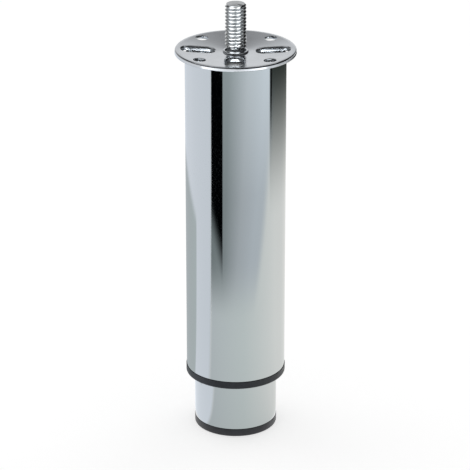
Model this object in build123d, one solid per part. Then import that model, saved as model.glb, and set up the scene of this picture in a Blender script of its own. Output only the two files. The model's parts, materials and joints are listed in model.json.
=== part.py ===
# Adjustable furniture leg: a polished round tube under a dished fixing plate with a threaded stud,
# and a smaller foot that screws in and out of the tube's lower end to level the furniture.
# Millimetres, +Z up, origin on the floor under the centre of the foot, which is screwed right in.
from build123d import *
import math
import os

# Outer tube
tube_radius = 30.0
tube_wall = 1.5
tube_length = 200.0
tube_edge_break = 0.3

# Fixing plate: a disc stamped into a shallow dish inside a narrow flat rim,
# whose outer edge leans in a little towards its rolled top
plate_overhang = 6.0
plate_thickness = 2.5
plate_upper_edge_round = 0.9
plate_lower_edge_round = 0.4
plate_edge_lean = 0.15
plate_rim_width = 2.2
dish_depth = 1.8
collar_width = 1.3
collar_height = 0.8
collar_round = 0.7

# Four round screw holes, sunk from below so that the tube's end clears the screw heads
screw_hole_count = 4
screw_hole_radius = 3.55
screw_hole_inset = 7.0
screw_hole_edge_round = 0.4
screw_sink_radius = 5.15

# Four slots that run out from the collar between the screw holes
slot_count = 4
slot_width = 10.4
slot_inner_gap = 4.75
slot_outer_margin = 3.9
slot_edge_round = 1.0

# Threaded stud, plain at its major diameter, and what it screws into
stud_radius = 6.35
stud_reach = 27.5
stud_chamfer = 0.9
stud_undercut = 1.2
stud_neck_height = 1.5
stud_tail = 1.5
stud_nut_across_flats = 19.0
stud_nut_height = 11.0
head_thickness = 4.0

# Guide bush that closes the tube's lower end
bush_rim_height = 4.5
bush_rim_overhang = 0.3
bush_rim_round = 0.7
bush_spigot_height = 14.0
bush_spigot_relief = 0.6
bush_rib_count = 8
bush_rib_radius = 1.2
moulded_lead_in = 0.8

# Foot tube and the glide that it stands on
foot_gap = 3.5
foot_wall = 1.5
foot_reveal = 29.8
foot_edge_break = 0.3
glide_rim_height = 4.8
glide_rim_overhang = 0.15
glide_rim_round = 0.9
glide_spigot_height = 14.0
glide_spigot_wall = 2.4
glide_hub_radius = 6.0
glide_rib_count = 6
glide_rib_thickness = 2.0
glide_ring_width = 6.65
glide_recess_depth = 1.4

# Sleeve that centres the upper end of the foot in the tube
sleeve_height = 16.0
sleeve_lip_thickness = 2.0
sleeve_slit_count = 6
sleeve_slit_width = 2.5
sleeve_slit_height = 9.0
sleeve_room = 1.0

# Plug in the upper end of the foot
plug_flange_inset = 0.4
plug_flange_height = 3.0
plug_spigot_height = 12.0
plug_spigot_wall = 2.4
plug_floor = 5.0
plug_hub_wall = 2.6

# Spindle, its nuts, the bridge that it turns in and its end stop
spindle_radius = 6.0
spindle_chamfer = 1.0
spindle_pitch = 1.75
spindle_turns = 13
spindle_end = 2.5
nut_across_flats = 18.0
nut_height = 10.0
lock_nut_height = 6.0
nut_corner_chamfer = 0.6
nut_face_inset = 0.2
bridge_thickness = 4.0
bridge_hole_count = 4
bridge_hole_radius = 3.5
stop_washer_lap = 1.6
stop_washer_thickness = 2.5

# Clearances
press_gap = 0.05
thread_gap = 0.05
running_gap = 0.1
seat_gap = 0.02
plate_seat_gap = 0.15
stop_gap = 0.3

# Radii that follow
tube_bore = tube_radius - tube_wall
plate_radius = tube_radius + plate_overhang
dish_radius = plate_radius - plate_rim_width
collar_radius = stud_radius + collar_width
foot_radius = tube_bore - foot_gap
foot_bore = foot_radius - foot_wall
nut_corner_radius = nut_across_flats / math.sqrt(3)

# Levels that follow, from the floor up to the tube's lower end
foot_bottom = glide_rim_height
bush_bottom = foot_bottom + foot_reveal
tube_bottom = bush_bottom + bush_rim_height
tube_top = tube_bottom + tube_length

# The foot reaches far enough up that the sleeve stops short of the bush when the foot is right out
foot_travel = spindle_pitch * spindle_turns
bush_top = tube_bottom + bush_spigot_height
sleeve_bottom = bush_top + sleeve_room + foot_travel
sleeve_top = sleeve_bottom + sleeve_height
sleeve_lip_bottom = sleeve_top - sleeve_lip_thickness
foot_top = sleeve_lip_bottom - seat_gap

plug_bottom = foot_top - plug_spigot_height
plug_flange_bottom = sleeve_top + stop_gap
plug_top = plug_flange_bottom + plug_flange_height
lock_nut_top = plug_top - plug_floor
lock_nut_bottom = lock_nut_top - lock_nut_height
bridge_bottom = plug_top + stop_gap
bridge_top = bridge_bottom + bridge_thickness
stop_washer_bottom = bridge_top + nut_height + foot_travel + stop_gap
stop_nut_bottom = stop_washer_bottom + stop_washer_thickness
spindle_bottom = lock_nut_bottom - spindle_end
spindle_top = stop_nut_bottom + lock_nut_height + spindle_end


def dish_drop(radius):
    # how far the dish lies below the plate's flat rim at a radius
    slope = dish_depth / (dish_radius - collar_radius)
    return slope * max(0.0, dish_radius - radius)


# Levels of the plate, whose dished underside bears on the inner edge of the tube's upper end
plate_top = tube_top + plate_seat_gap + plate_thickness + dish_drop(tube_bore)
dish_top = plate_top - dish_depth
dish_bottom = dish_top - plate_thickness
collar_top = dish_top + collar_height
head_top = dish_bottom - stop_gap
head_bottom = head_top - head_thickness
stud_nut_bottom = head_bottom - stud_nut_height
stud_bottom = stud_nut_bottom - stud_tail
stud_top = plate_top + stud_reach


def turned(points, rounds=()):
    # a solid turned about the leg's axis from a half section of (radius, height) points;
    # rounds pairs a corner of the section with the radius that rounds it off
    section = make_face(Polyline(*[(r, 0, z) for r, z in points], close=True))
    for corner, size in rounds:
        spot = Vector(corner[0], 0, corner[1])
        nearest = min(section.vertices(), key=lambda vertex: (Vector(*vertex) - spot).length)
        section = fillet(nearest, size)
    return revolve(section, Axis.Z)


def ring(outer, inner, bottom, top):
    return Pos(0, 0, bottom) * extrude(Circle(outer) - Circle(inner), top - bottom)


def rod(radius, chamfer_size, bottom, top):
    return turned([
        (0, bottom), (radius - chamfer_size, bottom), (radius, bottom + chamfer_size),
        (radius, top - chamfer_size), (radius - chamfer_size, top), (0, top),
    ])


def tube(radius, wall, edge_break, bottom, top):
    # a cut length of tube with its outer edges broken
    return turned([
        (radius - wall, bottom), (radius - edge_break, bottom), (radius, bottom + edge_break),
        (radius, top - edge_break), (radius - edge_break, top), (radius - wall, top),
    ])


def hex_nut(across_flats, bore, bottom, height):
    # a nut with its corners turned off at both faces
    prism = Pos(0, 0, bottom) * extrude(RegularPolygon(across_flats / 2, 6, major_radius=False), height)
    face = across_flats / 2 - nut_face_inset
    corner = across_flats / math.sqrt(3)
    low = bottom + nut_corner_chamfer
    high = bottom + height - nut_corner_chamfer
    envelope = turned([
        (bore, bottom), (face, bottom), (corner, low), (corner, high), (face, bottom + height),
        (bore, bottom + height),
    ])
    return prism & envelope


def plate_blank():
    # the stamped disc with its collar, before anything is punched
    hole = stud_radius + thread_gap
    underside = plate_top - plate_thickness
    upper_edge = plate_radius - plate_edge_lean
    return turned([
        (hole, dish_bottom), (collar_radius, dish_bottom), (dish_radius, underside),
        (plate_radius, underside), (upper_edge, plate_top), (dish_radius, plate_top),
        (collar_radius, dish_top), (collar_radius, collar_top), (hole, collar_top),
    ], rounds=[
        ((plate_radius, underside), plate_lower_edge_round),
        ((upper_edge, plate_top), plate_upper_edge_round),
        ((collar_radius, collar_top), collar_round),
    ])


def lies_on_dish(edge):
    # whether an edge lies in the dish's upper face
    middle = edge @ 0.5
    level = plate_top - dish_drop(math.hypot(middle.X, middle.Y))
    return abs(middle.Z - level) < seat_gap


def punched(plate, openings, edge_round):
    # the plate with openings punched through it from above, which rolls their upper edges
    depth = 2 * (plate_thickness + dish_depth)
    cut = plate - Pos(0, 0, plate_top) * extrude(openings, -depth)
    upper = [edge for edge in new_edges(plate, combined=cut) if lies_on_dish(edge)]
    return fillet(upper, edge_round)


def fixing_plate():
    slot_start = collar_radius + slot_inner_gap
    slot_end = plate_radius - slot_outer_margin
    slots = PolarLocations((slot_start + slot_end) / 2, slot_count)
    slot = SlotOverall(slot_end - slot_start, slot_width)
    plate = punched(plate_blank(), Sketch() + [place * slot for place in slots], slot_edge_round)

    screw_circle_radius = plate_radius - screw_hole_inset
    holes = PolarLocations(screw_circle_radius, screw_hole_count, start_angle=180 / screw_hole_count)
    hole = Circle(screw_hole_radius)
    plate = punched(plate, Sketch() + [place * hole for place in holes], screw_hole_edge_round)

    # each sink is a right-angled cone that starts well below the plate's sloping underside
    start = dish_depth
    underside = plate_top - plate_thickness - dish_drop(screw_circle_radius)
    depth = screw_sink_radius - screw_hole_radius
    sink = Cone(screw_sink_radius + start, screw_hole_radius, depth + start,
                align=(Align.CENTER, Align.CENTER, Align.MIN))
    for place in holes:
        plate -= Pos(0, 0, underside - start) * place * sink
    return plate


def threaded_stud():
    # full size inside the plate's collar, with an undercut just above it
    neck = stud_radius - stud_undercut
    neck_top = collar_top + stud_neck_height
    return turned([
        (0, stud_bottom), (stud_radius - stud_chamfer, stud_bottom),
        (stud_radius, stud_bottom + stud_chamfer), (stud_radius, collar_top), (neck, collar_top),
        (neck, neck_top), (stud_radius, neck_top + stud_undercut),
        (stud_radius, stud_top - stud_chamfer), (stud_radius - stud_chamfer, stud_top), (0, stud_top),
    ])


def head_disc():
    # pressed into the tube's upper end, with the stud through it
    return ring(tube_bore - press_gap, stud_radius + thread_gap, head_bottom, head_top)


def end_bush():
    bore = foot_radius + running_gap
    rim = tube_radius + bush_rim_overhang
    spigot = tube_bore - bush_spigot_relief
    seat = tube_bottom - seat_gap
    body = turned([
        (bore, bush_bottom), (rim, bush_bottom), (rim, seat), (spigot, seat),
        (spigot, bush_top - moulded_lead_in), (spigot - moulded_lead_in, bush_top), (bore, bush_top),
    ], rounds=[((rim, bush_bottom), bush_rim_round)])
    # crush ribs hold the spigot in the tube
    places = PolarLocations(spigot - bush_rib_radius / 2, bush_rib_count)
    ribs = Sketch() + [place * Circle(bush_rib_radius) for place in places]
    ribs = ribs & (Circle(tube_bore - press_gap) - Circle(bore))
    return body + Pos(0, 0, seat) * extrude(ribs, bush_spigot_height - 2 * moulded_lead_in)


def spindle_bridge():
    # a disc across the tube that carries the spindle's nut, with holes for the plating bath to drain
    disc = ring(tube_bore - press_gap, spindle_radius + running_gap, bridge_bottom, bridge_top)
    places = PolarLocations((nut_corner_radius + tube_bore) / 2, bridge_hole_count)
    holes = Sketch() + [place * Circle(bridge_hole_radius) for place in places]
    return disc - Pos(0, 0, bridge_bottom) * extrude(holes, bridge_thickness)


def guide_sleeve():
    # a skirt round the foot's upper end, slit to spring a little, and a lip that lies over the edge
    outer = tube_bore - running_gap
    inner = foot_radius + running_gap
    lip = foot_bore + stop_gap
    body = turned([
        (inner, sleeve_bottom), (outer - moulded_lead_in, sleeve_bottom),
        (outer, sleeve_bottom + moulded_lead_in), (outer, sleeve_top - moulded_lead_in),
        (outer - moulded_lead_in, sleeve_top), (lip, sleeve_top), (lip, sleeve_lip_bottom),
        (inner, sleeve_lip_bottom),
    ])
    slit = Box(tube_radius, sleeve_slit_width, sleeve_slit_height, align=(Align.MIN, Align.CENTER, Align.MIN))
    for place in PolarLocations(0, sleeve_slit_count):
        body -= Pos(0, 0, sleeve_bottom) * place * slit
    return body


def foot_plug():
    # pressed into the foot's upper end, cored out round a hub with a pocket for the lock nut
    bore = spindle_radius + thread_gap
    skirt = foot_bore - press_gap
    flange = foot_radius - plug_flange_inset
    body = turned([
        (bore, plug_bottom), (skirt, plug_bottom), (skirt, plug_flange_bottom),
        (flange, plug_flange_bottom), (flange, plug_top), (bore, plug_top),
    ])
    body -= ring(skirt - plug_spigot_wall, nut_corner_radius + plug_hub_wall, plug_bottom, lock_nut_top)
    pocket = RegularPolygon(nut_across_flats / 2 + press_gap, 6, major_radius=False)
    return body - Pos(0, 0, plug_bottom) * extrude(pocket, lock_nut_top - plug_bottom)


def stop_washer():
    # too wide to pass the spindle's nut, so it ends the travel
    outer = nut_corner_radius + stop_washer_lap
    return ring(outer, spindle_radius + thread_gap, stop_washer_bottom, stop_nut_bottom)


def glide_cap():
    rim = foot_radius + glide_rim_overhang
    skirt = foot_bore - press_gap
    seat = foot_bottom - seat_gap
    spigot_top = foot_bottom + glide_spigot_height
    body = turned([
        (0, 0), (rim, 0), (rim, seat), (skirt, seat), (skirt, spigot_top - moulded_lead_in),
        (skirt - moulded_lead_in, spigot_top), (0, spigot_top),
    ], rounds=[((rim, 0), glide_rim_round)])
    # cored out above its floor, with ribs from a hub to the skirt
    inner = skirt - glide_spigot_wall
    body -= ring(inner, glide_hub_radius, foot_bottom, spigot_top)
    rib = Box(inner + glide_spigot_wall / 2, glide_rib_thickness, glide_spigot_height - moulded_lead_in,
              align=(Align.MIN, Align.CENTER, Align.MIN))
    for place in PolarLocations(0, glide_rib_count):
        body += Pos(0, 0, foot_bottom) * place * rib
    # a shallow recess leaves a ring to stand on
    return body - extrude(Circle(rim - glide_ring_width), glide_recess_depth)


parts = {
    "fixing_plate": fixing_plate(),
    "threaded_stud": threaded_stud(),
    "head_disc": head_disc(),
    "head_nut": hex_nut(stud_nut_across_flats, stud_radius + thread_gap, stud_nut_bottom, stud_nut_height),
    "outer_tube": tube(tube_radius, tube_wall, tube_edge_break, tube_bottom, tube_top),
    "end_bush": end_bush(),
    "spindle_bridge": spindle_bridge(),
    "spindle_nut": hex_nut(nut_across_flats, spindle_radius + running_gap, bridge_top, nut_height),
    "guide_sleeve": guide_sleeve(),
    "foot_tube": tube(foot_radius, foot_wall, foot_edge_break, foot_bottom, foot_top),
    "foot_plug": foot_plug(),
    "spindle": rod(spindle_radius, spindle_chamfer, spindle_bottom, spindle_top),
    "spindle_lock_nut": hex_nut(nut_across_flats, spindle_radius + thread_gap, lock_nut_bottom, lock_nut_height),
    "stop_washer": stop_washer(),
    "stop_nut": hex_nut(nut_across_flats, spindle_radius + thread_gap, stop_nut_bottom, lock_nut_height),
    "glide_cap": glide_cap(),
}

os.makedirs("parts", exist_ok=True)
for name, shape in parts.items():
    export_step(shape, f"parts/{name}.step")
print("plate top", round(plate_top, 3), "stud top", round(stud_top, 3), "travel", foot_travel)
print("foot length", round(foot_top - foot_bottom, 3))
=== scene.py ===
import json
import math
import bpy
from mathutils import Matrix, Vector


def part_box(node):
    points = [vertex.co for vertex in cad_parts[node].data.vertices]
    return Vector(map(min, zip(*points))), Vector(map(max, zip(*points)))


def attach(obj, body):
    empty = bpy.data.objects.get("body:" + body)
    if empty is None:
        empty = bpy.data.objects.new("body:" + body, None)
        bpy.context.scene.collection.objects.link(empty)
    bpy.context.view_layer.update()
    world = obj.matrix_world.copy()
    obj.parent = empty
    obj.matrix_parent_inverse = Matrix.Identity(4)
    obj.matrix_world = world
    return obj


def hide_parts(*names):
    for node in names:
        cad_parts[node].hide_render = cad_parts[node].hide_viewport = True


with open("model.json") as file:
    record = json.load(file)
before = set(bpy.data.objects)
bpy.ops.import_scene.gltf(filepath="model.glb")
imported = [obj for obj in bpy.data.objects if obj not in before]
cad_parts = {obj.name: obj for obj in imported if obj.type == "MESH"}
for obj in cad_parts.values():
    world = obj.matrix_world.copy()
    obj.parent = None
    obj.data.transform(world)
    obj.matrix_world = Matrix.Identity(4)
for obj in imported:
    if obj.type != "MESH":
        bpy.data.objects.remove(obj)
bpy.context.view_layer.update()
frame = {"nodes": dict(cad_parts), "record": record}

# The adjustable furniture leg: its finishes, its rolled threads, and a small plain studio round it.
# Everything is in metres, with the floor at z = 0 and the leg standing on the origin.

mm = 0.001
inch = 25.4 * mm
nodes = frame["nodes"]

# a Mix node's sockets go by number, because its names repeat
mixShare, firstNumber, secondNumber, firstColour, secondColour = 0, 2, 3, 6, 7
mixedColour = 2                    # among its outputs

noiseSpan = {"From Min": 0.3, "From Max": 0.7}    # nearly all of a noise's values lie between these


# Helpers

def linearColour(hexValue):
    # an sRGB hex colour as the linear values that shaders work in
    channels = [int(hexValue[i:i + 2], 16) / 255 for i in (0, 2, 4)]
    return [c / 12.92 if c <= 0.04045 else ((c + 0.055) / 1.055) ** 2.4 for c in channels] + [1.0]


def addNode(tree, kind, inputs=None, **settings):
    # one node with its settings; what an input is given is a value, a socket, or a node's first output
    node = tree.nodes.new(kind)
    for name, value in settings.items():
        setattr(node, name, value)
    for key, value in (inputs or {}).items():
        if isinstance(value, bpy.types.Node):
            value = value.outputs[0]
        if isinstance(value, bpy.types.NodeSocket):
            tree.links.new(value, node.inputs[key])
        else:
            node.inputs[key].default_value = value
    return node


def newMaterial(name):
    material = bpy.data.materials.new(name)
    material.use_nodes = True
    material.node_tree.nodes.clear()
    return material, material.node_tree


def grainNoise(tree, grainSize, detail=2.0, roughness=0.5):
    # noise whose grains measure grainSize, in metres along x, y and z of the piece
    place = addNode(tree, "ShaderNodeTexCoord").outputs["Object"]
    scaled = addNode(tree, "ShaderNodeMapping", {
        "Vector": place, "Scale": [1 / size for size in grainSize]})
    return addNode(tree, "ShaderNodeTexNoise", {
        "Vector": scaled, "Scale": 1.0, "Detail": detail, "Roughness": roughness})


def smoothly(value, start, end):
    # 0 at start and 1 at end, with a soft step between
    share = min(max((value - start) / (end - start), 0.0), 1.0)
    return share * share * (3 - 2 * share)


def mixed(a, b, share):
    return [x + (y - x) * share for x, y in zip(a, b)]


def graded(stops, share):
    # evenly spaced stops, and what lies at a share of the way along them
    place = share * (len(stops) - 1)
    first = min(int(place), max(len(stops) - 2, 0))
    last = min(first + 1, len(stops) - 1)
    return mixed(stops[first], stops[last], place - first)


# Polished tubes

tubeFinish = {
    "chrome": "cfd1d2",            # chrome plate gives back a little under two thirds of the light
    "roughness": (0.03, 0.07),
    "smudgeSize": 18 * mm,
    "lineWidth": 0.9 * mm,         # real polishing lines are under 0.1 mm; coarser here so that they show
    "lineLength": 30 * mm,
    "lineDepth": 0.0003 * mm,
    "waveSize": 40 * mm,
    "waveDepth": 0.008 * mm,
}


def polishedChrome():
    # chrome plate on a belt-polished steel tube: mirror bands that waver a little,
    # with faint lines round the tube and soft smudges
    material, tree = newMaterial("polishedChromeTube")
    line = tubeFinish["lineLength"]
    smudges = grainNoise(tree, [tubeFinish["smudgeSize"]] * 3, detail=4.0)
    roughness = addNode(tree, "ShaderNodeMapRange", {
        "Value": smudges, **noiseSpan,
        "To Min": tubeFinish["roughness"][0], "To Max": tubeFinish["roughness"][1]})
    waves = addNode(tree, "ShaderNodeBump", {
        "Height": grainNoise(tree, [tubeFinish["waveSize"]] * 3, detail=0.0),
        "Distance": tubeFinish["waveDepth"]})
    lines = addNode(tree, "ShaderNodeBump", {
        "Height": grainNoise(tree, [line, line, tubeFinish["lineWidth"]], detail=3.0),
        "Distance": tubeFinish["lineDepth"], "Normal": waves})
    shader = addNode(tree, "ShaderNodeBsdfPrincipled", {
        "Base Color": linearColour(tubeFinish["chrome"]), "Metallic": 1.0,
        "Roughness": roughness, "Normal": lines})
    addNode(tree, "ShaderNodeOutputMaterial", {"Surface": shader})
    return material


# Fixing plate

plateFinish = {
    "chrome": "c5c9ce",            # a little duller than on the tubes
    "roughness": (0.11, 0.19),
    "grainLength": 16 * mm,
    "grainWidth": 0.35 * mm,       # the rolled sheet's grain is finer; coarser here so that it shows
    "grainDepth": 0.004 * mm,
    "cloudSize": 8 * mm,
}


def stampedChrome():
    # chrome plate on a disc stamped from rolled sheet: satin, with straight grain and duller clouds
    material, tree = newMaterial("stampedChromePlate")
    length, width = plateFinish["grainLength"], plateFinish["grainWidth"]
    clouds = grainNoise(tree, [plateFinish["cloudSize"]] * 3, detail=4.0)
    roughness = addNode(tree, "ShaderNodeMapRange", {
        "Value": clouds, **noiseSpan,
        "To Min": plateFinish["roughness"][0], "To Max": plateFinish["roughness"][1]})
    grain = addNode(tree, "ShaderNodeBump", {
        "Height": grainNoise(tree, [length, width, length], detail=3.0),
        "Distance": plateFinish["grainDepth"]})
    shader = addNode(tree, "ShaderNodeBsdfPrincipled", {
        "Base Color": linearColour(plateFinish["chrome"]), "Metallic": 1.0,
        "Roughness": roughness, "Normal": grain})
    addNode(tree, "ShaderNodeOutputMaterial", {"Surface": shader})
    return material


# Zinc-plated steel

# real pits in the plate are under 0.1 mm; coarser here so that they show
zincFinishes = {
    "brightZincThread": {"light": "e3e5e6", "dark": "c6cacc", "roughness": (0.09, 0.20),
                         "mottleSize": 1.4 * mm, "pitSize": 0.25 * mm, "pitDepth": 0.001 * mm},
    "zincPlatedSteel": {"light": "dcdedf", "dark": "bfc3c5", "roughness": (0.34, 0.48),
                        "mottleSize": 2.5 * mm, "pitSize": 0.3 * mm, "pitDepth": 0.003 * mm},
}
# painted shade: the grey that darkens a thread deep in its grooves, in its undercut and on its chamfered
# cut ends, with a higher roughness there
grooveShadeAndDulling = {
    "colour": "94989b",
    "roughness": 0.30,
    "from": 0.55,                  # how far down a groove it starts, as a share of the groove's depth
}


def zincPlate(name):
    # zinc plate on turned or rolled steel: a soft sheen with a fine crystal mottle,
    # with a painted shade, a darker grey, deep in a thread's grooves, in its undercut and on its chamfered
    # cut ends, which are rougher there too
    finish = zincFinishes[name]
    material, tree = newMaterial(name)
    mottle = grainNoise(tree, [finish["mottleSize"]] * 3, detail=5.0, roughness=0.6)
    patches = addNode(tree, "ShaderNodeMapRange", {"Value": mottle, **noiseSpan})
    colour = addNode(tree, "ShaderNodeMix", {
        mixShare: patches, firstColour: linearColour(finish["light"]),
        secondColour: linearColour(finish["dark"])}, data_type="RGBA")
    roughness = addNode(tree, "ShaderNodeMapRange", {
        "Value": patches, "To Min": finish["roughness"][0], "To Max": finish["roughness"][1]})
    groove = addNode(tree, "ShaderNodeAttribute", attribute_name="groove").outputs["Fac"]
    # painted shade: how much of the darker grey a point gets, rising with its depth below the crest
    grooveShadeShare = addNode(tree, "ShaderNodeMapRange", {
        "Value": groove, "From Min": grooveShadeAndDulling["from"]}, interpolation_type="SMOOTHSTEP")
    grooveShaded = addNode(tree, "ShaderNodeMix", {
        mixShare: grooveShadeShare, firstColour: colour.outputs[mixedColour],
        secondColour: linearColour(grooveShadeAndDulling["colour"])}, data_type="RGBA")
    dulled = addNode(tree, "ShaderNodeMix", {
        mixShare: grooveShadeShare, firstNumber: roughness, secondNumber: grooveShadeAndDulling["roughness"]})
    pits = addNode(tree, "ShaderNodeBump", {
        "Height": grainNoise(tree, [finish["pitSize"]] * 3), "Distance": finish["pitDepth"]})
    shader = addNode(tree, "ShaderNodeBsdfPrincipled", {
        "Base Color": grooveShaded.outputs[mixedColour], "Metallic": 1.0,
        "Roughness": dulled, "Normal": pits})
    addNode(tree, "ShaderNodeOutputMaterial", {"Surface": shader})
    return material


# Moulded plastics

# the real grain of the tool is about 0.1 mm; coarser here so that it shows
plasticFinishes = {
    "blackNylon": {"light": "1b1e2a", "dark": "10121c", "roughness": (0.34, 0.46), "ior": 1.53,
                   "mottleSize": 3 * mm, "grainSize": 0.35 * mm, "grainDepth": 0.01 * mm},
    "whiteAcetal": {"light": "ecebe4", "dark": "dfddd4", "roughness": (0.30, 0.40), "ior": 1.48,
                    "mottleSize": 6 * mm, "grainSize": 0.4 * mm, "grainDepth": 0.006 * mm},
}


def mouldedPlastic(name):
    # an injection moulding: satin, with the tool's fine spark-eroded grain and slightly uneven gloss
    finish = plasticFinishes[name]
    material, tree = newMaterial(name)
    mottle = grainNoise(tree, [finish["mottleSize"]] * 3, detail=3.0)
    patches = addNode(tree, "ShaderNodeMapRange", {"Value": mottle, **noiseSpan})
    colour = addNode(tree, "ShaderNodeMix", {
        mixShare: patches, firstColour: linearColour(finish["light"]),
        secondColour: linearColour(finish["dark"])}, data_type="RGBA")
    roughness = addNode(tree, "ShaderNodeMapRange", {
        "Value": patches, "To Min": finish["roughness"][0], "To Max": finish["roughness"][1]})
    grain = addNode(tree, "ShaderNodeBump", {
        "Height": grainNoise(tree, [finish["grainSize"]] * 3, detail=1.0),
        "Distance": finish["grainDepth"]})
    shader = addNode(tree, "ShaderNodeBsdfPrincipled", {
        "Base Color": colour.outputs[mixedColour], "Roughness": roughness,
        "IOR": finish["ior"], "Normal": grain})
    addNode(tree, "ShaderNodeOutputMaterial", {"Surface": shader})
    return material


slotMaterials = {
    "polished_chrome": polishedChrome(),
    "chromed_steel": stampedChrome(),
    "bright_zinc": zincPlate("brightZincThread"),
    "plain_steel": zincPlate("zincPlatedSteel"),
    "black_nylon": mouldedPlastic("blackNylon"),
    "white_acetal": mouldedPlastic("whiteAcetal"),
}
for subpart in frame["record"]["subparts"]:
    piece = nodes[subpart["node"]]
    piece.data.materials.clear()
    piece.data.materials.append(slotMaterials[subpart["material_slot"]])
print("finishes are on", len(nodes), "pieces")


# Rolled threads

spareRows = 3.0                    # one at each end for the caps, and one more
mergeDistance = 0.002 * mm
creaseAngle = 40                   # degrees, past which an edge is drawn sharp

# The thread's sums, each with its name, its operation and what it works on.
# Rows of a grid are sheared to follow the helix, and rows past an end are held at that end.
gridSums = [
    ("row height", "DIVIDE", "Pitch", "Rows Per Turn"),
    ("length", "SUBTRACT", "High", "Low"),
    ("sheared length", "ADD", "length", "Pitch"),
    ("whole rows", "DIVIDE", "sheared length", "row height"),
    ("rounded rows", "CEIL", "whole rows", 0.0),
    ("rows", "ADD", "rounded rows", spareRows),
    ("points across", "ADD", "Columns", 1.0),
    ("points along", "ADD", "rows", 1.0),
]
threadSums = [
    ("centred turn", "DIVIDE", "grid x", "Columns"),
    ("turn", "ADD", "centred turn", 0.5),
    ("half rows", "MULTIPLY", "rows", 0.5),
    ("row", "ADD", "grid y", "half rows"),
    ("helix rise", "MULTIPLY", "turn", "Pitch"),
    ("below the end", "SUBTRACT", "Low", "Pitch"),
    ("first row", "SUBTRACT", "below the end", "row height"),
    ("row rise", "MULTIPLY", "row", "row height"),
    ("unsheared height", "ADD", "first row", "row rise"),
    ("free height", "ADD", "unsheared height", "helix rise"),
    ("height over low end", "MAXIMUM", "free height", "Low"),
    ("height", "MINIMUM", "height over low end", "High"),
    ("height off helix", "SUBTRACT", "height", "helix rise"),
    ("turns off helix", "DIVIDE", "height off helix", "Pitch"),
    ("turns from start", "SUBTRACT", "turns off helix", "Start"),
    ("phase", "FRACT", "turns from start", 0.0),
    ("doubled phase", "MULTIPLY", "phase", 2.0),
    ("centred phase", "SUBTRACT", "doubled phase", 1.0),
    ("from crest", "ABSOLUTE", "centred phase", 0.0),
    ("under low neck", "SUBTRACT", "Neck Low", "height"),
    ("over high neck", "SUBTRACT", "height", "Neck High"),
    ("off the neck", "MAXIMUM", "under low neck", "over high neck"),
    ("neck slope", "MAXIMUM", "off the neck", 0.0),
    ("neck radius", "ADD", "Neck Radius", "neck slope"),
    ("to high end", "SUBTRACT", "High", "height"),
    ("to low end", "SUBTRACT", "height", "Low"),
    ("to an end", "MINIMUM", "to high end", "to low end"),
    ("end radius", "SUBTRACT", "Radius", "Chamfer"),
    ("chamfer radius", "ADD", "end radius", "to an end"),
    ("angle", "MULTIPLY", "turn", 2 * math.pi),
    ("cosine", "COSINE", "angle", 0.0),
    ("sine", "SINE", "angle", 0.0),
    ("past first row", "GREATER_THAN", "row", 0.5),
    ("nearly last row", "SUBTRACT", "rows", 0.5),
    ("before last row", "LESS_THAN", "row", "nearly last row"),
    ("off the caps", "MULTIPLY", "past first row", "before last row"),
]
surfaceSums = [
    ("thread radius", "SUBTRACT", "Radius", "cut"),
    ("necked radius", "MINIMUM", "thread radius", "neck radius"),
    ("open radius", "MINIMUM", "necked radius", "chamfer radius"),
    ("sunk depth", "SUBTRACT", "Radius", "open radius"),
    ("groove", "DIVIDE", "sunk depth", "Depth"),
    ("radius", "MULTIPLY", "open radius", "off the caps"),
    ("x", "MULTIPLY", "radius", "cosine"),
    ("y", "MULTIPLY", "radius", "sine"),
]


def addSums(tree, values, sums):
    for name, operation, a, b in sums:
        values[name] = addNode(tree, "ShaderNodeMath", {
            0: values.get(a, a), 1: values.get(b, b)}, operation=operation, label=name)


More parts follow.
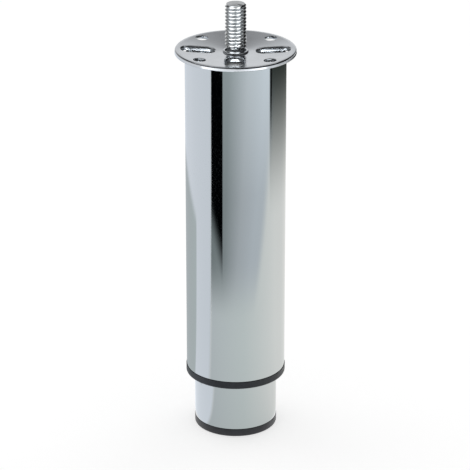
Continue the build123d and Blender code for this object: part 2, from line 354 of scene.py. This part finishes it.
def rolledThreadTree():
    # a grid wrapped round the rod, with the thread rolled in, chamfered ends,
    # an undercut neck and closed caps
    tree = bpy.data.node_groups.new("rolledThread", "GeometryNodeTree")
    for name in ("Radius", "Pitch", "Depth", "Start", "Low", "High", "Chamfer",
                 "Neck Low", "Neck High", "Neck Radius"):
        tree.interface.new_socket(name, in_out="INPUT", socket_type="NodeSocketFloat")
    for name in ("Columns", "Rows Per Turn"):
        tree.interface.new_socket(name, in_out="INPUT", socket_type="NodeSocketInt")
    tree.interface.new_socket("Finish", in_out="INPUT", socket_type="NodeSocketMaterial")
    tree.interface.new_socket("Geometry", in_out="OUTPUT", socket_type="NodeSocketGeometry")
    given = addNode(tree, "NodeGroupInput").outputs
    values = {socket.name: socket for socket in given if socket.name}

    addSums(tree, values, gridSums)
    grid = addNode(tree, "GeometryNodeMeshGrid", {
        "Size X": values["Columns"], "Size Y": values["rows"],
        "Vertices X": values["points across"], "Vertices Y": values["points along"]})
    place = addNode(tree, "GeometryNodeInputPosition")
    cell = addNode(tree, "ShaderNodeSeparateXYZ", {0: place}).outputs
    values["grid x"], values["grid y"] = cell[0], cell[1]
    addSums(tree, values, threadSums)
    values["cut"] = addNode(tree, "ShaderNodeMapRange", {
        "Value": values["from crest"], "To Max": values["Depth"]}, interpolation_type="SMOOTHSTEP")
    addSums(tree, values, surfaceSums)

    grooved = addNode(tree, "GeometryNodeStoreNamedAttribute", {
        "Geometry": grid, "Name": "groove", "Value": values["groove"]}, data_type="FLOAT", domain="POINT")
    wrap = addNode(tree, "ShaderNodeCombineXYZ", {
        "X": values["x"], "Y": values["y"], "Z": values["height"]})
    wrapped = addNode(tree, "GeometryNodeSetPosition", {"Geometry": grooved, "Position": wrap})
    merged = addNode(tree, "GeometryNodeMergeByDistance", {"Geometry": wrapped, "Distance": mergeDistance})
    smooth = addNode(tree, "GeometryNodeSetShadeSmooth", {"Geometry": merged, "Shade Smooth": True})
    edgeAngle = addNode(tree, "GeometryNodeInputMeshEdgeAngle")
    crease = addNode(tree, "ShaderNodeMath", {
        0: edgeAngle, 1: math.radians(creaseAngle)}, operation="GREATER_THAN")
    creased = addNode(tree, "GeometryNodeSetShadeSmooth", {
        "Geometry": smooth, "Selection": crease, "Shade Smooth": False}, domain="EDGE")
    real = addNode(tree, "GeometryNodeRealizeInstances", {"Geometry": creased})
    finished = addNode(tree, "GeometryNodeSetMaterial", {"Geometry": real, "Material": values["Finish"]})
    addNode(tree, "NodeGroupOutput", {"Geometry": finished})
    return tree


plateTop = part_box("fixing_plate")[1].z
# "Start" is the part of a turn by which a thread is turned round its rod.
threadedRods = {
    "threaded_stud": {              # half an inch across with 12 threads to the inch
        "name": "rolled_stud", "body": "leg", "Radius": inch / 4, "Pitch": inch / 12,
        "Depth": 1.15 * mm, "Start": 0.63, "Chamfer": 0.9 * mm, "Neck Low": plateTop - 1 * mm,
        "Neck High": plateTop + 0.5 * mm, "Neck Radius": 5.15 * mm, "Columns": 72, "Rows Per Turn": 16},
    "spindle": {                    # a 12 mm rod, which has no undercut neck
        "name": "rolled_spindle", "body": "foot", "Radius": 6 * mm, "Pitch": 1.75 * mm,
        "Depth": 1.05 * mm, "Start": 0.0, "Chamfer": 1 * mm, "Neck Low": 0.0, "Neck High": 0.0,
        "Neck Radius": 6 * mm, "Columns": 48, "Rows Per Turn": 10},
}


def rolledRod(tree, node, sizes):
    # the thread's mesh takes the place of the plain rod, between the same ends
    low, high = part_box(node)
    inputs = {"Low": low.z, "High": high.z, "Finish": slotMaterials["bright_zinc"], **sizes}
    rod = bpy.data.objects.new(sizes["name"], bpy.data.meshes.new("gridSeed"))
    bpy.context.collection.objects.link(rod)
    modifier = rod.modifiers.new("rolledThread", "NODES")
    modifier.node_group = tree
    for item in tree.interface.items_tree:
        if item.in_out == "INPUT":
            modifier[item.identifier] = inputs[item.name]
    evaluated = rod.evaluated_get(bpy.context.evaluated_depsgraph_get())
    mesh = bpy.data.meshes.new_from_object(evaluated)
    rod.modifiers.clear()
    rod.data = mesh
    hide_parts(node)
    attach(rod, sizes["body"])
    return rod


threadTree = rolledThreadTree()
for node, sizes in threadedRods.items():
    rod = rolledRod(threadTree, node, sizes)
    print(rod.name, "has", len(rod.data.polygons), "faces")


# Camera

cameraView = {
    "turn": 1.3,                   # degrees round the leg, towards its right
    "distance": 1.4737,
    "aside": -0.00037,             # sideways, so that the leg stands a little right of the middle
    "height": 0.7324,
    "pitch": 22.45,                # degrees below level
    "lens": 202.06,                # millimetres, as is the sensor's width
    "sensor": 36,
}
turned = math.radians(cameraView["turn"])

camera = bpy.data.cameras.new("camera")
camera.lens = cameraView["lens"]
camera.sensor_width = cameraView["sensor"]
cameraObject = bpy.data.objects.new("camera", camera)
cameraObject.location = (
    cameraView["aside"] * math.cos(turned) + cameraView["distance"] * math.sin(turned),
    cameraView["aside"] * math.sin(turned) - cameraView["distance"] * math.cos(turned),
    cameraView["height"])
cameraObject.rotation_euler = (math.radians(90 - cameraView["pitch"]), 0, turned)
bpy.context.collection.objects.link(cameraObject)
bpy.context.scene.camera = cameraObject
bpy.context.scene.view_settings.view_transform = "Standard"
print("camera looks down by", cameraView["pitch"], "degrees")


# Floor

floorStage = {
    "halfWidth": 9.0,
    "diffuse": "e7e7e7",
    "lift": 0.61,                  # with the lit floor this comes to just over white
}


def paleFloor():
    # a seamless white floor that keeps a soft shadow and looks plain white in the chrome
    mesh = bpy.data.meshes.new("paleFloor")
    half = floorStage["halfWidth"]
    corners = [(-half, -half, 0), (half, -half, 0), (half, half, 0), (-half, half, 0)]
    mesh.from_pydata(corners, [], [(0, 1, 2, 3)])
    floor = bpy.data.objects.new("paleFloor", mesh)
    bpy.context.collection.objects.link(floor)
    material, tree = newMaterial("paleFloor")
    path = addNode(tree, "ShaderNodeLightPath").outputs
    seen = addNode(tree, "ShaderNodeMath", {
        0: path["Is Glossy Ray"], 1: path["Is Transmission Ray"]}, operation="MAXIMUM")
    lit = addNode(tree, "ShaderNodeBsdfDiffuse", {"Color": linearColour(floorStage["diffuse"])})
    strength = addNode(tree, "ShaderNodeMath", {
        0: path["Is Camera Ray"], 1: floorStage["lift"]}, operation="MULTIPLY")
    lift = addNode(tree, "ShaderNodeEmission", {"Strength": strength})
    lifted = addNode(tree, "ShaderNodeAddShader", {0: lit, 1: lift})
    white = addNode(tree, "ShaderNodeEmission", {"Strength": 1.0})
    surface = addNode(tree, "ShaderNodeMixShader", {0: seen, 1: lifted, 2: white})
    addNode(tree, "ShaderNodeOutputMaterial", {"Surface": surface})
    mesh.materials.append(material)


# Reflector cards

# Flat boards laid just over the floor round the leg, a later one over an earlier one.
# Only reflections show them.
# A corner is an azimuth in degrees, counted from the camera's side towards its right, and a distance.
# "soft" is the share of a board that fades at its left, right, near and far side.
# "tones" grade a board evenly from left to right, and "light" dims or lifts them evenly from near to far.
cards = {
    "coolSide": {
        "near": ((-190, 0.03), (-55, 0.03)), "far": ((-190, 0.95), (-55, 0.95)),
        "soft": (0.03, 0.02, 0.01, 0.05), "tones": ["dde4ee", "f1f7ff", "eaf1f9"],
        "light": (1.06, 1.0, 1.0)},
    "greyFront": {
        "near": ((-61, 0.03), (178, 0.03)), "far": ((-61, 0.92), (178, 0.92)),
        "soft": (0.04, 0.02, 0.01, 0.05), "tones": ["ced6d9", "dbe4e3", "f6f8f5", "efefec"],
        "light": (0.91, 1.01, 0.98)},
    "greyStrip": {
        "near": ((-170, 0.075), (-95, 0.075)), "far": ((-175, 0.54), (-98, 0.38)),
        "soft": (0.02, 0.04, 0.05, 0.06), "tones": ["bbc0c4", "c8d2d3"], "light": (1.0,)},
    "greyWedge": {
        "near": ((-56.5, 0.20), (44, 0.20)), "far": ((-56.5, 0.92), (125, 0.92)),
        "soft": (0.01, 0.15, 0.30, 0.05), "tones": ["899394", "98a2a4", "c3cbd0", "d1dae1", "d4dde3"],
        "light": (0.88, 0.95, 1.46)},
    "darkBoard": {
        "near": ((79.5, 0.36), (190, 0.36)), "far": ((79.5, 0.92), (190, 0.92)),
        "soft": (0.05, 0.03, 0.76, 0.05), "tones": ["66706a", "585f59"], "light": (1.0, 0.03)},
    "blackEdge": {
        "near": ((82.5, 0.53), (89, 0.53)), "far": ((82.5, 0.92), (89, 0.92)),
        "soft": (0.2, 0.2, 0.4, 0.05), "tones": ["020403"], "light": (1.0,)},
    "blackFlag": {
        "near": ((-56.5, 0.345), (-28.5, 0.255)), "far": ((-56.5, 0.92), (-28.5, 0.92)),
        "soft": (0.03, 0.03, 0.22, 0.05), "tones": ["010203"], "light": (1.0,)},
}
cardSteps = {"across": 120, "along": 48}
cardHeights = {"lowest": 0.4 * mm, "step": 0.2 * mm}


def cardMaterial():
    # a board glows in its own tones, so that the chrome shows them as they are written
    material, tree = newMaterial("reflectorCard")
    tone = addNode(tree, "ShaderNodeVertexColor", layer_name="tone").outputs
    board = addNode(tree, "ShaderNodeEmission", {"Color": tone["Color"]})
    clear = addNode(tree, "ShaderNodeBsdfTransparent")
    surface = addNode(tree, "ShaderNodeMixShader", {0: tone["Alpha"], 1: clear, 2: board})
    addNode(tree, "ShaderNodeOutputMaterial", {"Surface": surface})
    return material


def reflectorCard(name, card, height, material):
    # a fine grid of points, each with its own tone and opacity
    columns, rows = cardSteps["across"], cardSteps["along"]
    softLeft, softRight, softNear, softFar = card["soft"]
    shades = [linearColour(tone)[:3] for tone in card["tones"]]
    lights = [[light] for light in card["light"]]    # as lists of one, which graded works on
    points, tones = [], []
    for i in range(columns + 1):
        across = i / columns
        near, far = mixed(*card["near"], across), mixed(*card["far"], across)
        side = smoothly(across, 0, softLeft) * smoothly(across, 1, 1 - softRight)
        tone = graded(shades, across)
        for j in range(rows + 1):
            along = j / rows
            azimuth = turned + math.radians(near[0] + (far[0] - near[0]) * along)
            distance = near[1] * (far[1] / near[1]) ** along
            opacity = side * smoothly(along, 0, softNear) * smoothly(along, 1, 1 - softFar)
            points.append((distance * math.sin(azimuth), -distance * math.cos(azimuth), height))
            light = graded(lights, along)[0]
            tones.extend([channel * light for channel in tone] + [opacity])
    faces = []
    for i in range(columns):
        for j in range(rows):
            corner = i * (rows + 1) + j
            faces.append((corner, corner + 1, corner + rows + 2, corner + rows + 1))
    mesh = bpy.data.meshes.new(name)
    mesh.from_pydata(points, [], faces)
    mesh.color_attributes.new("tone", "FLOAT_COLOR", "POINT").data.foreach_set("color", tones)
    mesh.materials.append(material)
    board = bpy.data.objects.new(name, mesh)
    bpy.context.collection.objects.link(board)
    board.visible_camera = False
    board.visible_diffuse = False
    board.visible_shadow = False


paleFloor()
boardMaterial = cardMaterial()
for layer, (name, card) in enumerate(cards.items()):
    reflectorCard(name, card, cardHeights["lowest"] + layer * cardHeights["step"], boardMaterial)
print("floor and", len(cards), "reflector cards are laid")


# Studio light

studio = {
    "fill": 0.52,                  # even light from all round
    # elevation in degrees and how bright the studio looks there, over the backdrop
    "behind": [(0, 0.90), (14, 0.90), (19, 0.90), (22, 0.66), (25, 0.37), (28, 0.26), (38, 0.12),
               (79, 0.05), (84, 0.42), (89, 0.42)],
    # the same on the camera's side
    "facing": [(0, 0.90), (5, 0.70), (9, 0.04), (30, 0.03), (79, 0.04), (84, 0.42), (89, 0.42)],
    # where the camera's side turns into the backdrop, on an axis that points away from the camera
    "sideChange": (-0.5, 0.1),
    # how far to the right and to the left the backdrop starts and ends to darken, and how dark it gets
    "rightWing": (0.20, 0.36, 0.06),
    "leftWing": (-0.22, -0.42, 0.45),
}
# A softbox hangs at an azimuth, an elevation and a distance from the middle of the plate's top.
# "looks" is its brightness, where a strength of 1 is white. Where pieces are named, it lights only those.
softboxes = {
    "overheadLeft": {"azimuth": -126, "elevation": 62, "distance": 1.6, "size": (0.9, 0.8), "looks": 0.9},
    "overheadRight": {"azimuth": 140, "elevation": 62, "distance": 1.6, "size": (0.7, 0.8), "looks": 0.9},
    "threadLeft": {"azimuth": -58, "elevation": 38, "distance": 1.0, "size": (0.90, 1.5), "looks": 3.5,
                   "lights": ["rolled_stud"]},
    "threadRight": {"azimuth": 33, "elevation": 38, "distance": 1.0, "size": (0.70, 1.5), "looks": 3.5,
                    "lights": ["rolled_stud"]},
    "threadFill": {"azimuth": -15, "elevation": 30, "distance": 1.1, "size": (2.2, 2.0), "looks": 0.60,
                   "lights": ["rolled_stud"]},
    "discFront": {"azimuth": 0, "elevation": 39, "distance": 1.0, "size": (2.4, 0.40), "looks": 13.0,
                  "lights": ["head_disc"]},
    "discBack": {"azimuth": 180, "elevation": 38, "distance": 1.0, "size": (1.6, 0.5), "looks": 9.0,
                 "lights": ["head_disc"]},
    "rimFill": {"azimuth": -3, "elevation": -30, "distance": 0.22, "size": (0.7, 0.14), "looks": 1.25,
                "lights": ["fixing_plate"]},
}


def studioWorld():
    # Mirrors see pale grey low down, dark above that, and mid grey straight overhead.
    # On the camera's side the dark starts lower. Matt surfaces get an even fill, and the camera sees white.
    world = bpy.data.worlds.new("studio")
    bpy.context.scene.world = world
    world.use_nodes = True
    tree = world.node_tree
    tree.nodes.clear()
    direction = addNode(tree, "ShaderNodeTexCoord").outputs["Generated"]
    fromCamera = addNode(tree, "ShaderNodeMapping", {"Vector": direction, "Rotation": (0.0, 0.0, -turned)})
    sky = addNode(tree, "ShaderNodeSeparateXYZ", {0: fromCamera}).outputs
    ramps = []
    for stops in (studio["behind"], studio["facing"]):
        ramp = addNode(tree, "ShaderNodeValToRGB", {"Fac": sky["Z"]})
        elements = ramp.color_ramp.elements
        for elevation, grey in stops:
            stop = elements.new(math.sin(math.radians(elevation)))
            stop.color = (grey, grey, grey, 1.0)
        elements.remove(elements[0])
        elements.remove(elements[-1])
        ramps.append(ramp)
    wings = []
    for start, end, dark in (studio["rightWing"], studio["leftWing"]):
        wings.append(addNode(tree, "ShaderNodeMapRange", {
            "Value": sky["X"], "From Min": start, "From Max": end, "To Min": 1.0, "To Max": dark}))
    wing = addNode(tree, "ShaderNodeMath", {0: wings[0], 1: wings[1]}, operation="MULTIPLY")
    behind = addNode(tree, "ShaderNodeVectorMath", {0: ramps[0], 1: wing}, operation="MULTIPLY")
    side = addNode(tree, "ShaderNodeMapRange", {
        "Value": sky["Y"], "From Min": studio["sideChange"][0], "From Max": studio["sideChange"][1]},
        interpolation_type="SMOOTHSTEP")
    mirrored = addNode(tree, "ShaderNodeMix", {
        mixShare: side, firstColour: ramps[1], secondColour: behind}, data_type="RGBA")
    path = addNode(tree, "ShaderNodeLightPath").outputs
    inMirror = addNode(tree, "ShaderNodeMath", {
        0: path["Is Glossy Ray"], 1: path["Is Transmission Ray"]}, operation="MAXIMUM")
    fill = addNode(tree, "ShaderNodeBackground", {"Strength": studio["fill"]})
    mirror = addNode(tree, "ShaderNodeBackground", {"Color": mirrored.outputs[mixedColour]})
    white = addNode(tree, "ShaderNodeBackground", {"Color": (1.0, 1.0, 1.0, 1.0)})
    lighting = addNode(tree, "ShaderNodeMixShader", {0: inMirror, 1: fill, 2: mirror})
    shown = addNode(tree, "ShaderNodeMixShader", {0: path["Is Camera Ray"], 1: lighting, 2: white})
    addNode(tree, "ShaderNodeOutputWorld", {"Surface": shown})


def hangSoftbox(name, box):
    # an area lamp that faces the middle of the plate's top
    width, depth = box["size"]
    softbox = bpy.data.lights.new(name, "AREA")
    softbox.shape = "RECTANGLE"
    softbox.size, softbox.size_y = width, depth
    softbox.energy = box["looks"] * math.pi * width * depth
    azimuth = turned + math.radians(box["azimuth"])
    elevation = math.radians(box["elevation"])
    level = math.cos(elevation)
    away = Vector((math.sin(azimuth) * level, -math.cos(azimuth) * level, math.sin(elevation)))
    hung = bpy.data.objects.new(name, softbox)
    hung.location = Vector((0.0, 0.0, plateTop)) + away * box["distance"]
    hung.rotation_euler = away.to_track_quat("Z", "Y").to_euler()
    hung.visible_camera = False
    bpy.context.collection.objects.link(hung)
    if "lights" in box:
        lit = bpy.data.collections.new(name)
        for pieceName in box["lights"]:
            lit.objects.link(bpy.data.objects[pieceName])
        hung.light_linking.receiver_collection = lit


studioWorld()
for name, box in softboxes.items():
    hangSoftbox(name, box)
print("studio is lit by", len(softboxes), "softboxes")
